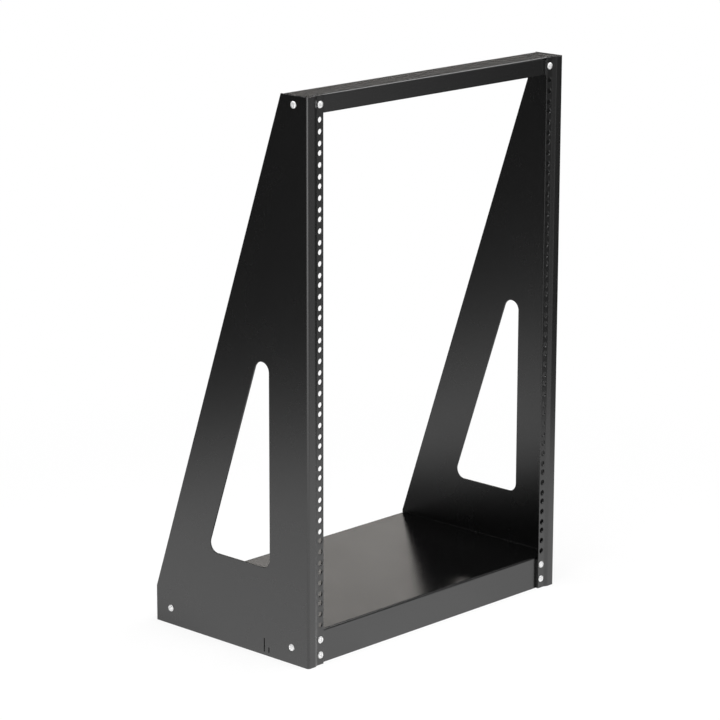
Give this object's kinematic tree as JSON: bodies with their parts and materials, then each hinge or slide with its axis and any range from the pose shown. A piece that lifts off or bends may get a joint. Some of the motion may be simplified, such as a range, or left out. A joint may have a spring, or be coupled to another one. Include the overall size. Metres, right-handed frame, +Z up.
{
  "type": "two post open frame rack",
  "caption": "Short free-standing two post rack of bent steel sheet: windowed side panels bent into drilled posts, a top beam and a base tray.",
  "frame": {"origin": "on the floor below the middle of the rack's box", "axes": "+X across the rack to its right side panel, +Y from the posts to the back, +Z up"},
  "size_m": [0.5168, 0.303, 0.788],
  "materials": {
    "panel_coat": "satin black powder coat",
    "cross_piece_coat": "satin black powder coat",
    "screw_plating": "bright nickel plating"
  },
  "bodies": {
    "root": {"left_side_panel": "panel_coat", "right_side_panel": "panel_coat", "top_beam": "cross_piece_coat", "base_tray": "cross_piece_coat"}
  },
  "joints": []
}
